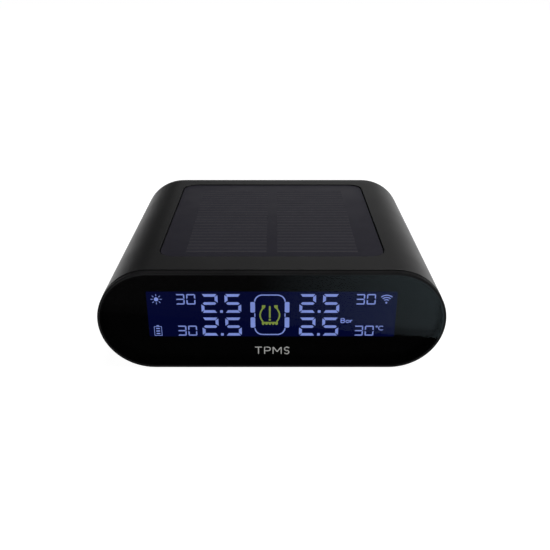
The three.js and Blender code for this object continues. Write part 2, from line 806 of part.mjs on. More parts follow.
// ---- Plugs, sockets and leads ----
// A socket on the board that opens to the back (way 1) or the front (way -1), and its plug.
// Gives the place where the leads enter the plug.
function connector(prefix, x, y, way) {
  const spanOf = (near, far) => (way > 0 ? [near, far] : [far, near]);
  const back = y - (way * SOCKET.l) / 2;
  const mouth = y + (way * SOCKET.l) / 2;
  const inside = back + way * SOCKET.wall;
  const plugEnd = mouth + way * SOCKET.plugOut;
  add(
    `${prefix}_socket`,
    cut(
      box(around(x, SOCKET.w), spanOf(back, mouth), onBoard(SOCKET.h)),
      box(
        around(x, SOCKET.w - 2 * SOCKET.wall),
        spanOf(inside, mouth + way),
        [boardFloor + SOCKET.wall, boardFloor + SOCKET.h + 1],
      ),
    ),
    MAT.white,
  );
  add(
    `${prefix}_plug`,
    box(
      around(x, SOCKET.w - 2 * SOCKET.wall - 0.4),
      spanOf(inside + way * 0.2, plugEnd),
      [boardFloor + SOCKET.wall + 0.1, boardFloor + SOCKET.h - 0.3],
    ),
    MAT.white,
  );
  return { y: plugEnd, z: boardFloor + SOCKET.h / 2 };
}

const LEADS = [
  ["red", -LEAD.apart / 2],
  ["black", LEAD.apart / 2],
];

// The cell's leads leave its front end, rise through the notch and turn back to their plug.
const batteryEnd = connector("battery", NOTCH.x, BATTERY_SOCKET_Y, -1);
const cellFront = BATTERY.y - BATTERY.l / 2;
LEADS.forEach(([colour, dx]) => {
  const x = NOTCH.x + dx;
  const z = cellZ + BATTERY.h / 2;
  const riseY = BOARD.front + NOTCH.l / 2;
  const route = [
    [x, cellFront - GAP, z],
    [x, cellFront - 0.8, z],
    [x, riseY, z + 1.2],
    [x, riseY - 0.2, BOARD_TOP - 0.4],
    [x, riseY + 0.2, BOARD_TOP + 1.1],
    [x, batteryEnd.y - 1.6, batteryEnd.z],
    [x, batteryEnd.y - GAP, batteryEnd.z],
  ];
  add(`battery_lead_${colour}`, tube(route, LEAD.r, 16), MAT[colour]);
});

// The panel's leads drop through the hole in the pocket floor, with slack for assembly.
const solarEnd = connector("solar", WIRE_HOLE.x, SOLAR_SOCKET_Y, 1);
LEADS.forEach(([colour, dx]) => {
  const x = WIRE_HOLE.x + dx;
  const top = pocketZ + GAP + PANEL_LAYERS.tape;
  const route = [
    [x, WIRE_HOLE.y, top],
    [x, WIRE_HOLE.y, top - 2.6],
    [x, WIRE_HOLE.y + 1.2, 17.5],
    [x, WIRE_HOLE.y + 0.6, 14],
    [x, solarEnd.y + 2.6, solarEnd.z + 0.4],
    [x, solarEnd.y + GAP, solarEnd.z],
  ];
  add(`solar_lead_${colour}`, tube(route, LEAD.r, 16), MAT[colour]);
});

// ---- Pad ----
add(
  "mounting_pad",
  slab(PAD.w - 2 * FIT, PAD.l - 2 * FIT, PAD.r - FIT, [0, PAD.y], [0, padFaceZ - GAP]),
  MAT.rubber,
);

export default root;
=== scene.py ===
import math

import bmesh
import bpy
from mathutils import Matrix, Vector


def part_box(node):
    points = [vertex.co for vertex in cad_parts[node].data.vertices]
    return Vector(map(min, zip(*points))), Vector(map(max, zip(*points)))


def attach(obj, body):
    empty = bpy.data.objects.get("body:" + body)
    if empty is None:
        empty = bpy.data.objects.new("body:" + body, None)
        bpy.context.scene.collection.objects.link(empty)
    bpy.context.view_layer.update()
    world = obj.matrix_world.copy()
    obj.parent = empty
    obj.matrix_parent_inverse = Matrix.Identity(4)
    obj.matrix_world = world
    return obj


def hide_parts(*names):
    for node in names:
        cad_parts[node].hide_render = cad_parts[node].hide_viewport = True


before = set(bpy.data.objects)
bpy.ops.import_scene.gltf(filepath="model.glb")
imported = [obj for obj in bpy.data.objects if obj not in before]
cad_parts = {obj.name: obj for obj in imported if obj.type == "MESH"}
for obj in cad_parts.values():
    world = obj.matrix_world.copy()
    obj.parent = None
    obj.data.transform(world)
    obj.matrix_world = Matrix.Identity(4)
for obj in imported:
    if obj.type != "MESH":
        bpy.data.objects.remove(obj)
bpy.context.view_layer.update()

# Solar tyre pressure monitor for a dashboard. Lengths below are in millimetres and angles in
# degrees; to_object turns them into metres. X is width, +Y runs to the back, Z is up.

MM = 0.001
ARC = 12
EDGE_STEPS = 4


def box_mm(node):
    low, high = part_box(node)
    return Vector(low) / MM, Vector(high) / MM


CASE_LOW, CASE_HIGH = box_mm("housing")
LENS_LOW, LENS_HIGH = box_mm("front_lens")
HALF_W = (CASE_HIGH.x - CASE_LOW.x) / 2
HALF_H = (CASE_HIGH.z - CASE_LOW.z) / 2
MID_Z = (CASE_HIGH.z + CASE_LOW.z) / 2
FRONT_Y = CASE_LOW.y
REAR_Y = CASE_HIGH.y

# ---- Colours, as linear red, green and blue ----
BLACK_PLASTIC = (0.010, 0.010, 0.0105)
SEGMENT_BLUE = (0.21, 0.28, 0.68)
WARNING_GREEN = (0.195, 0.265, 0.050)
PANEL_BLUE = (0.0006, 0.0019, 0.029)


# ======== Shapes ========
def arc_points(centre, radius, start, end, steps):
    points = []
    for i in range(steps + 1):
        angle = math.radians(start + (end - start) * i / steps)
        points.append((centre[0] + radius * math.cos(angle), centre[1] + radius * math.sin(angle)))
    return points


def rounded_outline(w, h, r, steps=ARC):
    """A rounded rectangle about the origin, anticlockwise, with no point twice."""
    r = min(r, w / 2, h / 2)
    x = w / 2 - r
    y = h / 2 - r
    corners = [((x, -y), -90), ((x, y), 0), ((-x, y), 90), ((-x, -y), 180)]
    points = []
    for centre, start in corners:
        for point in arc_points(centre, r, start, start + 90, steps):
            if not points or math.dist(point, points[-1]) > 1e-5:
                points.append(point)
    if math.dist(points[0], points[-1]) < 1e-5:
        points.pop()
    return points


def to_object(name, bm, smooth_angle=35):
    """A bmesh in millimetres as an object in metres, smooth but for edges over smooth_angle."""
    bmesh.ops.scale(bm, vec=(MM, MM, MM), verts=bm.verts)
    bmesh.ops.recalc_face_normals(bm, faces=bm.faces)
    mesh = bpy.data.meshes.new(name)
    bm.to_mesh(mesh)
    bm.free()
    mesh.shade_smooth()
    mesh.set_sharp_from_angle(angle=math.radians(smooth_angle))
    obj = bpy.data.objects.new(name, mesh)
    bpy.context.scene.collection.objects.link(obj)
    return obj


def loft(bm, rings):
    """A closed solid through rings of equally many points."""
    made = [[bm.verts.new(p) for p in ring] for ring in rings]
    count = len(made[0])
    for a, b in zip(made, made[1:]):
        for i in range(count):
            j = (i + 1) % count
            bm.faces.new((a[i], a[j], b[j], b[i]))
    bm.faces.new(made[0][::-1])
    bm.faces.new(made[-1])


def flat_rings(outline_at, centre, stations):
    """Outlines that lie flat, one for each (z, grow) of stations."""
    return [
        [(centre[0] + x, centre[1] + y, z) for x, y in outline_at(grow)] for z, grow in stations
    ]


def upright_rings(outline_at, centre, stations):
    """Outlines that face along Y, one for each (y, grow) of stations."""
    return [
        [(centre[0] + x, y, centre[1] + z) for x, z in outline_at(grow)] for y, grow in stations
    ]


def grown(w, h, r, steps=ARC):
    return lambda grow: rounded_outline(w + 2 * grow, h + 2 * grow, r + grow, steps)


def edged(low, high, low_round=0.0, high_round=0.0, steps=EDGE_STEPS):
    """Stations from low to high whose ends are rounded off."""
    stations = []
    for i in range(steps + 1 if low_round else 1):
        angle = math.radians(90 * (1 - i / steps)) if low_round else 0
        stations.append((low + low_round * (1 - math.sin(angle)), -low_round * (1 - math.cos(angle))))
    for i in range(steps + 1 if high_round else 1):
        angle = math.radians(90 * i / steps) if high_round else 0
        stations.append((high - high_round * (1 - math.sin(angle)), -high_round * (1 - math.cos(angle))))
    return stations


def flared(inside, face, outside, radius, steps=EDGE_STEPS):
    """Stations of a cutter from inside, through a face whose edge it rounds, to outside."""
    sign = 1 if outside > inside else -1
    stations = [(inside, 0.0)]
    for i in range(steps + 1):
        angle = math.radians(90 * i / steps)
        stations.append(
            (face - sign * radius * (1 - math.sin(angle)), radius * (1 - math.cos(angle)))
        )
    stations.append((outside, radius))
    return stations


def flat_slab(name, w, l, r, centre, stations, steps=ARC):
    bm = bmesh.new()
    loft(bm, flat_rings(grown(w, l, r, steps), centre, stations))
    return to_object(name, bm)


def upright_slab(name, w, h, r, centre, stations, steps=ARC):
    bm = bmesh.new()
    loft(bm, upright_rings(grown(w, h, r, steps), centre, stations))
    return to_object(name, bm)


def carve(obj, cutters, operation="DIFFERENCE"):
    """Cuts each cutter out of obj, or joins it to obj, and removes the cutters."""
    for cutter in cutters:
        step = obj.modifiers.new("carve", "BOOLEAN")
        step.operation = operation
        step.solver = "EXACT"
        step.object = cutter
    graph = bpy.context.evaluated_depsgraph_get()
    mesh = bpy.data.meshes.new_from_object(obj.evaluated_get(graph))
    obj.modifiers.clear()
    obj.data = mesh
    for cutter in cutters:
        bpy.data.objects.remove(cutter)


def finish_shading(obj, angle=35):
    obj.data.shade_smooth()
    obj.data.set_sharp_from_angle(angle=math.radians(angle))
    weighted = obj.modifiers.new("even_normals", "WEIGHTED_NORMAL")
    weighted.keep_sharp = True


def plate(bm, outline, y, thick):
    """A flat figure that faces -Y: its outline is (x, z) points, anticlockwise from the front."""
    front = [bm.verts.new((x, y, z)) for x, z in outline]
    back = [bm.verts.new((x, y + thick, z)) for x, z in outline]
    bm.faces.new(front)
    bm.faces.new(back[::-1])
    count = len(outline)
    for i in range(count):
        j = (i + 1) % count
        bm.faces.new((front[j], front[i], back[i], back[j]))


def stroke(points, width):
    """The outline of a line of even width through points."""
    pts = [Vector(p) for p in points]
    left = []
    right = []
    for i, point in enumerate(pts):
        before = pts[max(i - 1, 0)]
        after = pts[min(i + 1, len(pts) - 1)]
        way = (after - before).normalized()
        side = Vector((-way.y, way.x)) * (width / 2)
        left.append(point + side)
        right.append(point - side)
    return [tuple(p) for p in right + left[::-1]]


# ======== Materials ========
class Nodes:
    """A material whose surface is one Principled shader, and the nodes that feed it."""

    def __init__(self, name):
        self.material = bpy.data.materials.new(name)
        self.material.use_nodes = True
        self.tree = self.material.node_tree
        self.shader = self.tree.nodes["Principled BSDF"]
        self.where = self.tree.nodes.new("ShaderNodeTexCoord").outputs["Object"]

    def set(self, **sockets):
        for key, value in sockets.items():
            self.shader.inputs[key.replace("_", " ")].default_value = value

    def node(self, kind, **settings):
        made = self.tree.nodes.new(kind)
        for key, value in settings.items():
            if hasattr(made, key):
                setattr(made, key, value)
            else:
                made.inputs[key].default_value = value
        return made

    def link(self, source, target):
        self.tree.links.new(source, target)

    def noise(self, scale, detail=3.0, stretch=None):
        made = self.node("ShaderNodeTexNoise", Scale=scale, Detail=detail)
        if stretch:
            mapping = self.node("ShaderNodeMapping", Scale=stretch)
            self.link(self.where, mapping.inputs["Vector"])
            self.link(mapping.outputs["Vector"], made.inputs["Vector"])
        else:
            self.link(self.where, made.inputs["Vector"])
        return made.outputs["Fac"]

    def cells(self, scale, feature="F1", randomness=1.0):
        made = self.node("ShaderNodeTexVoronoi", feature=feature, Scale=scale, Randomness=randomness)
        self.link(self.where, made.inputs["Vector"])
        return made.outputs["Distance"]

    def spread(self, value, low, high, source_low=0.3, source_high=0.7):
        made = self.node("ShaderNodeMapRange")
        for i, number in enumerate((source_low, source_high, low, high)):
            made.inputs[1 + i].default_value = number
        self.link(value, made.inputs[0])
        return made.outputs[0]

    def blend(self, value, first, second):
        """A colour between first and second, by value."""
        ramp = self.node("ShaderNodeValToRGB")
        ramp.color_ramp.elements[0].position = 0.35
        ramp.color_ramp.elements[1].position = 0.65
        ramp.color_ramp.elements[0].color = (*first, 1)
        ramp.color_ramp.elements[1].color = (*second, 1)
        self.link(value, ramp.inputs["Fac"])
        return ramp.outputs["Color"]

    def color(self, value, first, second):
        self.link(self.blend(value, first, second), self.shader.inputs["Base Color"])

    def roughness(self, value, low, high):
        self.link(self.spread(value, low, high), self.shader.inputs["Roughness"])

    def bump(self, value, depth):
        """Bump of a depth in millimetres."""
        made = self.node("ShaderNodeBump", Strength=1.0, Distance=depth * MM)
        self.link(value, made.inputs["Height"])
        self.link(made.outputs["Normal"], self.shader.inputs["Normal"])


def tinted(color, factor):
    return tuple(min(1.0, channel * factor) for channel in color)


def satin_plastic(name, base, rough, grain):
    """Moulded plastic with a spark-eroded grain and slight unevenness in its gloss."""
    made = Nodes(name)
    fine = made.noise(5200, 4)
    broad = made.noise(90, 3)
    made.color(broad, tinted(base, 0.9), tinted(base, 1.12))
    made.roughness(broad, rough - 0.03, rough + 0.03)
    made.bump(fine, grain)
    made.set(IOR=1.5)
    return made.material


def smooth_plastic(name, base, rough, grain):
    made = Nodes(name)
    broad = made.noise(220, 2)
    made.color(broad, tinted(base, 0.93), tinted(base, 1.05))
    made.roughness(broad, rough - 0.04, rough + 0.04)
    made.bump(made.noise(3000, 2), grain)
    return made.material


def plated_steel(name, base=(0.56, 0.57, 0.59), rough=0.26, stretch=(1, 1, 12)):
    made = Nodes(name)
    lines = made.noise(900, 4, stretch)
    made.color(lines, tinted(base, 0.85), tinted(base, 1.08))
    made.roughness(lines, rough - 0.06, rough + 0.1)
    made.bump(lines, 0.003)
    made.set(Metallic=1.0)
    return made.material


def circuit_board(name):
    """Green solder mask with the paler tracks that run under it."""
    made = Nodes(name)
    tracks = made.node("ShaderNodeTexBrick", Scale=420, Color1=(0, 0, 0, 1), Color2=(1, 1, 1, 1))
    made.link(made.where, tracks.inputs["Vector"])
    made.color(tracks.outputs["Fac"], (0.006, 0.075, 0.035), (0.012, 0.12, 0.06))
    made.bump(tracks.outputs["Fac"], 0.02)
    made.roughness(made.noise(300), 0.3, 0.42)
    return made.material


def chip_epoxy(name):
    made = Nodes(name)
    grain = made.noise(4200, 4)
    made.color(made.noise(260), (0.012, 0.012, 0.013), (0.02, 0.02, 0.021))
    made.roughness(grain, 0.5, 0.66)
    made.bump(grain, 0.01)
    return made.material


def rubber(name, base, pitch=900):
    """Tacky rubber with a fine moulded stipple."""
    made = Nodes(name)
    stipple = made.cells(pitch, "SMOOTH_F1", 0.25)
    made.color(made.noise(140), tinted(base, 0.85), tinted(base, 1.15))
    made.roughness(made.noise(600), 0.66, 0.82)
    made.bump(stipple, 0.06)
    return made.material


def wire_sleeve(name, base):
    made = Nodes(name)
    made.color(made.noise(500), tinted(base, 0.85), tinted(base, 1.1))
    made.roughness(made.noise(900), 0.4, 0.52)
    made.bump(made.noise(2600), 0.004)
    return made.material


def crinkled_foil(name):
    made = Nodes(name)
    folds = made.cells(130, "F1", 1.0)
    made.color(folds, (0.5, 0.51, 0.53), (0.68, 0.69, 0.71))
    made.roughness(made.noise(200), 0.28, 0.42)
    made.bump(folds, 0.08)
    made.set(Metallic=0.9)
    return made.material


def lit_figure(name, color, strength):
    """Light that comes through a figure of the display, a little uneven from the backlight."""
    made = Nodes(name)
    uneven = made.noise(170, 2)
    glow = made.blend(uneven, tinted(color, 0.9), tinted(color, 1.06))
    made.link(glow, made.shader.inputs["Emission Color"])
    made.link(glow, made.shader.inputs["Base Color"])
    made.set(Emission_Strength=strength, Roughness=0.5, Specular_IOR_Level=0.0)
    return made.material


MATERIALS = {
    "case": satin_plastic("black_satin_plastic", BLACK_PLASTIC, 0.42, 0.004),
    "key": satin_plastic("key_plastic", (0.016, 0.016, 0.017), 0.5, 0.006),
    "tray": satin_plastic("tray_plastic", (0.022, 0.023, 0.027), 0.5, 0.01),
    "white": satin_plastic("white_plastic", (0.7, 0.7, 0.66), 0.45, 0.006),
    "film": smooth_plastic("white_film", (0.8, 0.8, 0.78), 0.5, 0.001),
    "guide": smooth_plastic("light_guide", (0.7, 0.76, 0.82), 0.12, 0.004),
    "foam": rubber("black_foam", (0.006, 0.006, 0.006), 1600),
    "glass": smooth_plastic("display_glass", (0.02, 0.024, 0.05), 0.06, 0.0005),
    "steel": plated_steel("plated_steel"),
    "board": circuit_board("green_circuit_board"),
    "chip": chip_epoxy("chip_epoxy"),
    "foil": crinkled_foil("foil_pouch"),
    "copper": plated_steel("copper_wire", (0.62, 0.3, 0.12), 0.3, (1, 1, 1)),
    "gold": plated_steel("gold_contacts", (0.83, 0.58, 0.22), 0.22, (8, 1, 1)),
    "amber": smooth_plastic("ribbon_film", (0.48, 0.22, 0.03), 0.3, 0.003),
    "lamp": smooth_plastic("lamp_package", (0.75, 0.68, 0.3), 0.35, 0.002),
    "red": wire_sleeve("red_sleeve", (0.42, 0.012, 0.012)),
    "black": wire_sleeve("black_sleeve", (0.01, 0.01, 0.01)),
    "pad": rubber("pad_rubber", (0.02, 0.02, 0.021)),
}

NODE_MATERIALS = {
    "lens_gasket": "foam",
    "lcd_front_glass": "glass",
    "lcd_rear_glass": "glass",
    "lcd_rear_polarizer": "glass",
    "diffuser_sheet": "film",
    "light_guide": "guide",
    "reflector_sheet": "film",
    "display_frame": "white",
    "backlight_board": "board",
    "backlight_led_1": "lamp",
    "backlight_led_2": "lamp",
    "lcd_flex": "amber",
    "lcd_connector": "white",
    "chassis_tray": "tray",
    "battery_tape": "film",
    "battery_cell": "foil",
    "main_board": "board",
    "mcu_chip": "chip",
    "motion_sensor": "chip",
    "charger_chip": "chip",
    "charge_inductor": "chip",
    "crystal": "steel",
    "radio_chip": "chip",
    "shield_can": "steel",
    "buzzer": "chip",
    "storage_capacitor": "foil",
    "antenna_coil": "copper",
    "switch_body": "steel",
    "switch_plunger": "chip",
    "solar_tape": "film",
    "battery_socket": "white",
    "battery_plug": "white",
    "solar_socket": "white",
    "solar_plug": "white",
    "battery_lead_red": "red",
    "battery_lead_black": "black",
    "solar_lead_red": "red",
    "solar_lead_black": "black",
}
for prefix, count in (("case_screw", 4), ("board_screw", 4), ("display_screw", 2)):
    for number in range(1, count + 1):
        NODE_MATERIALS[f"{prefix}_{number}"] = "steel"


def paint(obj, material):
    obj.data.materials.clear()
    obj.data.materials.append(material)


for node, key in NODE_MATERIALS.items():
    paint(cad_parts[node], MATERIALS[key])


def settle(obj, material, body="case", stands_for=()):
    """Gives a new piece its material and its body, and hides the CAD nodes that it stands for."""
    paint(obj, material)
    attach(obj, body)
    if stands_for:
        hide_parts(*stands_for)


# ======== Case ========
WALL = 1.8
RIM = 0.45
LEDGE_Y = FRONT_Y + 1.15
FRONT_EDGE = 0.15
REAR_ROUND = {"side": 11.8, "side_reach": 5.6, "height": 4.9, "height_reach": 7.1}
INNER_ROUND = {"side": 10.0, "side_reach": 3.8, "height": 3.1, "height_reach": 5.3}
CASE_ARC = 36
POCKET = {"w": 53.6, "l": 54.4, "r": 4.0, "y": -0.8, "lip": 0.1}
KEY = {"x": -16.0, "z": 12.2, "w": 9.0, "h": 4.6, "clearance": 0.25}
SOUND = {"x": 16.0, "z": 12.2, "r": 0.6, "pitch": 3.0, "count": 3}
SHELL_LOW, SHELL_HIGH = box_mm("usb_socket_shell")
PORT_Z = (SHELL_LOW.z + SHELL_HIGH.z) / 2
PORT_W = SHELL_HIGH.x - SHELL_LOW.x
PORT_H = SHELL_HIGH.z - SHELL_LOW.z
PAD_LOW, PAD_HIGH = box_mm("mounting_pad")
PORT_CLEARANCE = 0.6
PAD_CLEARANCE = 0.35
BOSS = {"beside": 1.7, "ahead": 1.5, "r": 5.0, "floor": 1.3}
KEY_DISH = 0.16


def stadium_ring(half_w, half_h, y):
    outline = rounded_outline(2 * half_w, 2 * half_h, half_h, CASE_ARC // 2)
    return [(x, y, MID_Z + z) for x, z in outline]


def inset(depth, reach, from_rear):
    return depth * (1 - math.sqrt(1 - max(0.0, 1 - from_rear / reach) ** 2))


def rounded_back(half_w, half_h, rear, shape, steps=18):
    """Stadium rings whose size draws in towards the rear on an elliptic round."""
    longest = max(shape["side_reach"], shape["height_reach"])
    rings = []
    for i in range(steps + 1):
        from_rear = longest * (1 - math.sin(math.radians(90 * i / steps)))
        side = inset(shape["side"], shape["side_reach"], from_rear)
        height = inset(shape["height"], shape["height_reach"], from_rear)
        rings.append(stadium_ring(half_w - side, half_h - height, rear - from_rear))
    return rings


def stadium_piece(name, rings):
    bm = bmesh.new()
    loft(bm, rings)
    return to_object(name, bm)


def make_case():
    front = []
    for position, grow in edged(FRONT_Y, FRONT_Y + 1, FRONT_EDGE)[:-1]:
        front.append(stadium_ring(HALF_W + grow, HALF_H + grow, position))
    shell = stadium_piece("case_shell", front + rounded_back(HALF_W, HALF_H, REAR_Y, REAR_ROUND))
    inner = [stadium_ring(HALF_W - WALL, HALF_H - WALL, FRONT_Y - 1)]
    inner += rounded_back(HALF_W - WALL, HALF_H - WALL, REAR_Y - WALL, INNER_ROUND, 6)
    rim_w = HALF_W - RIM
    rim_h = HALF_H - RIM
    rebate = [stadium_ring(rim_w, rim_h, y) for y in (FRONT_Y - 1, LEDGE_Y)]
    carve(shell, [stadium_piece("inner", inner), stadium_piece("rebate", rebate)])
    pocket_floor = box_mm("solar_tape")[0].z - 0.05
    boss = flat_slab(
        "boss",
        POCKET["w"] + 2 * BOSS["beside"],
        POCKET["l"] + 2 * BOSS["ahead"],
        BOSS["r"],
        (0, POCKET["y"]),
        [(pocket_floor - BOSS["floor"], 0), (CASE_HIGH.z - WALL / 2, 0)],
        6,
    )
    carve(shell, [boss], "UNION")
    rear_face = [REAR_Y - WALL - 2, REAR_Y, REAR_Y + 1]
    cutters = [
        flat_slab(
            "pocket",
            POCKET["w"],
            POCKET["l"],
            POCKET["r"],
            (0, POCKET["y"]),
            flared(pocket_floor, CASE_HIGH.z, CASE_HIGH.z + 1, POCKET["lip"]),
        ),
        flat_slab(
            "pad_recess",
            PAD_HIGH.x - PAD_LOW.x + 2 * PAD_CLEARANCE,
            PAD_HIGH.y - PAD_LOW.y + 2 * PAD_CLEARANCE,
            6.0,
            (0, (PAD_LOW.y + PAD_HIGH.y) / 2),
            flared(PAD_HIGH.z + 0.05, CASE_LOW.z, CASE_LOW.z - 1, 0.2)[::-1],
        ),
        upright_slab(
            "port_hole",
            PORT_W + 2 * PORT_CLEARANCE,
            PORT_H + 2 * PORT_CLEARANCE,
            1.2,
            (0, PORT_Z),
            flared(*rear_face, 0.3),
            6,
        ),
        upright_slab(
            "key_hole",
            KEY["w"] + 2 * KEY["clearance"],
            KEY["h"] + 2 * KEY["clearance"],
            KEY["h"],
            (KEY["x"], KEY["z"]),
            flared(*rear_face, 0.25),
        ),
    ]
    for i in range(SOUND["count"]):
        x = SOUND["x"] + (i - (SOUND["count"] - 1) / 2) * SOUND["pitch"]
        size = 2 * SOUND["r"]
        cutters.append(
            upright_slab(
                "sound_hole",
                size,
                size,
                SOUND["r"],
                (x, SOUND["z"]),
                flared(*rear_face, 0.15),
                5,
            )
        )
    carve(shell, cutters)
    finish_shading(shell)
    return shell


settle(make_case(), MATERIALS["case"], stands_for=["housing"])


# ======== Front window ========
LENS_W = LENS_HIGH.x - LENS_LOW.x
LENS_H = LENS_HIGH.z - LENS_LOW.z
LENS_EDGE = 0.12
LENS_PLATE = 1.35
LENS_RIM = 0.55
LENS_BORDER = 0.9
SEAM = 0.004
WINDOW_ALPHA = 0.25
SHOWS_THROUGH = 1 / (1 - WINDOW_ALPHA)
VIEW = {"w": 57.4, "h": 11.9, "z": 13.55, "r": 0.25}
MASK_LOW, MASK_HIGH = box_mm("lens_mask")


def lens_rings(margin):
    """The lens's plate and the step behind it that plugs into the case, drawn in by a margin."""
    plate_back = LENS_LOW.y + LENS_PLATE
    rings = [
        stadium_ring(LENS_W / 2 - margin + grow, LENS_H / 2 - margin + grow, y)
        for y, grow in edged(LENS_LOW.y, plate_back, 0 if margin else LENS_EDGE, 0, 6)
    ]
    step = max(margin, RIM + 0.07)
    if step > margin:
        rings.append(stadium_ring(LENS_W / 2 - step, LENS_H / 2 - step, plate_back))
    rings.append(stadium_ring(LENS_W / 2 - step, LENS_H / 2 - step, LENS_HIGH.y))
    return rings


def make_lens_band(name, outer, inner):
    """The part of the lens between two margins, measured in from its outline."""
    band = stadium_piece(name, lens_rings(outer))
    hole = [
        stadium_ring(LENS_W / 2 - inner, LENS_H / 2 - inner, y)
        for y in (LENS_LOW.y - 1, LENS_HIGH.y + 1)
    ]
    carve(band, [stadium_piece("hole", hole)])
    finish_shading(band)
    return band


def rim_material():
    """The lens's outer edge, which is left matt and painted black."""
    made = Nodes("matt_edge")
    made.color(made.noise(90), tinted(BLACK_PLASTIC, 1.2), tinted(BLACK_PLASTIC, 1.6))
    made.roughness(made.noise(600), 0.5, 0.6)
    made.bump(made.noise(1500, 2), 0.002)
    made.set(Specular_IOR_Level=0.04)
    return made.material


def border_material():
    """Polished acrylic, painted black behind."""
    made = Nodes("painted_acrylic")
    made.color(made.noise(60), (0.0005, 0.0005, 0.0006), (0.0009, 0.0009, 0.001))
    made.roughness(made.noise(25, 2), 0.04, 0.06)
    made.set(Specular_IOR_Level=0.26)
    return made.material


def make_lens():
    return stadium_piece("front_window", lens_rings(LENS_BORDER + SEAM))


def window_material():
    """Smoked acrylic with an anti-reflection coat, so only part of the light is turned back."""
    made = Nodes("coated_window")
    made.set(Base_Color=(0.0004, 0.0005, 0.0006, 1), Alpha=WINDOW_ALPHA, IOR=1.5)
    made.roughness(made.noise(30, 2), 0.02, 0.035)
    return made.material


def make_mask():
    rings = [
        stadium_ring((MASK_HIGH.x - MASK_LOW.x) / 2, (MASK_HIGH.z - MASK_LOW.z) / 2, y)
        for y in (MASK_LOW.y, MASK_HIGH.y)
    ]
    mask = stadium_piece("window_print", rings)
    hole = upright_slab(
        "hole",
        VIEW["w"],
        VIEW["h"],
        VIEW["r"],
        (0, VIEW["z"]),
        [(MASK_LOW.y - 1, 0), (MASK_HIGH.y + 1, 0)],
        4,
    )
    carve(mask, [hole])
    finish_shading(mask)
    return mask


def ink_material():
    made = Nodes("black_ink")
    made.color(made.noise(60), (0.0005, 0.0005, 0.0006), (0.0009, 0.0009, 0.001))
    made.roughness(made.noise(25, 2), 0.12, 0.14)
    made.set(Specular_IOR_Level=0.12)
    return made.material


rim = make_lens_band("window_rim", 0, LENS_RIM)
border = make_lens_band("window_border", LENS_RIM + SEAM, LENS_BORDER)
settle(rim, rim_material(), stands_for=["front_lens"])
settle(border, border_material())
settle(make_lens(), window_material())
settle(make_mask(), ink_material(), stands_for=["lens_mask"])


# ======== Display ========
FACE_Y = box_mm("lcd_front_polarizer")[0].y
FIGURE_THICK = 0.03
FIGURE_Y = FACE_Y - FIGURE_THICK - 0.01

# Lit segments of each digit, by the letters that seven-segment displays use.
LIT = {"0": "abcdef", "2": "abged", "3": "abgcd", "5": "afgcd"}


def segment_outlines(w, h, bar, gap, slope):
    """The seven bars of a digit whose lower left corner is the origin. Their ends slope."""
    half = h / 2
    inner = bar * slope
    g = gap / 2

    def level(z0, z1, low_in, high_in):
        return [
            (low_in + g, z0),
            (w - low_in - g, z0),
            (w - high_in - g, z1),
            (high_in + g, z1),
        ]

    def tall(x0, x1, z0, z1, outer_cut, inner_cut):
        if x0 < w / 2:
            return [
                (x0, z0 + outer_cut + g),
                (x1, z0 + inner_cut + g),
                (x1, z1 - inner_cut - g),
                (x0, z1 - outer_cut - g),
            ]
        return [
            (x0, z0 + inner_cut + g),
            (x1, z0 + outer_cut + g),
            (x1, z1 - outer_cut - g),
            (x0, z1 - inner_cut - g),
        ]

    middle = [
        (inner * 0.45 + g, half),
        (inner + g, half - bar / 2),
        (w - inner - g, half - bar / 2),
        (w - inner * 0.45 - g, half),
        (w - inner - g, half + bar / 2),
        (inner + g, half + bar / 2),
    ]
    return {
        "a": level(h - bar, h, inner, 0.28 * bar),
        "d": level(0, bar, 0.28 * bar, inner),
        "g": middle,
        "b": tall(w - bar, w, half, h, 0.3 * bar, bar),
        "c": tall(w - bar, w, 0, half, 0.3 * bar, bar),
        "f": tall(0, bar, half, h, 0.3 * bar, bar),
        "e": tall(0, bar, 0, half, 0.3 * bar, bar),
    }


def moved(outline, dx, dz):
    return [(x + dx, z + dz) for x, z in outline]


def write_number(bm, text, left, low, size):
    """Seven-segment figures from left, with a square point where the text has one."""
    x = left
    segments = segment_outlines(size["w"], size["h"], size["bar"], size["gap"], size["slope"])
    for mark in text:
        if mark == ".":
            point = size["point"]
            dot = rounded_outline(point, point, 0.12, 3)
            plate(bm, moved(dot, x + size["point_space"] / 2, low + point / 2), FIGURE_Y, FIGURE_THICK)
            x += size["point_space"]
            continue
        for letter in LIT[mark]:
            plate(bm, moved(segments[letter], x, low), FIGURE_Y, FIGURE_THICK)
        x += size["w"] + size["space"]


LARGE = {
    "w": 3.78, "h": 4.85, "bar": 0.68, "gap": 0.1, "slope": 0.95,
    "space": 0.0, "point": 0.66, "point_space": 1.6,
}
SMALL = {
    "w": 2.06, "h": 2.68, "bar": 0.29, "gap": 0.05, "slope": 0.8,
    "space": 0.42, "point": 0.0, "point_space": 0.0,
}
ROW_HIGH = 18.76
ROW_LOW = 7.80


def make_large_figures():
    bm = bmesh.new()
    for left in (-16.2, 6.37):
        write_number(bm, "2.5", left, ROW_HIGH - LARGE["h"], LARGE)
        write_number(bm, "2.5", left, ROW_LOW, LARGE)
    return to_object("pressure_figures", bm)


def make_small_figures():
    bm = bmesh.new()
    for left in (-22.05, 19.3):
        write_number(bm, "30", left, ROW_HIGH - SMALL["h"], SMALL)
        write_number(bm, "30", left, ROW_LOW, SMALL)
    return to_object("temperature_figures", bm)


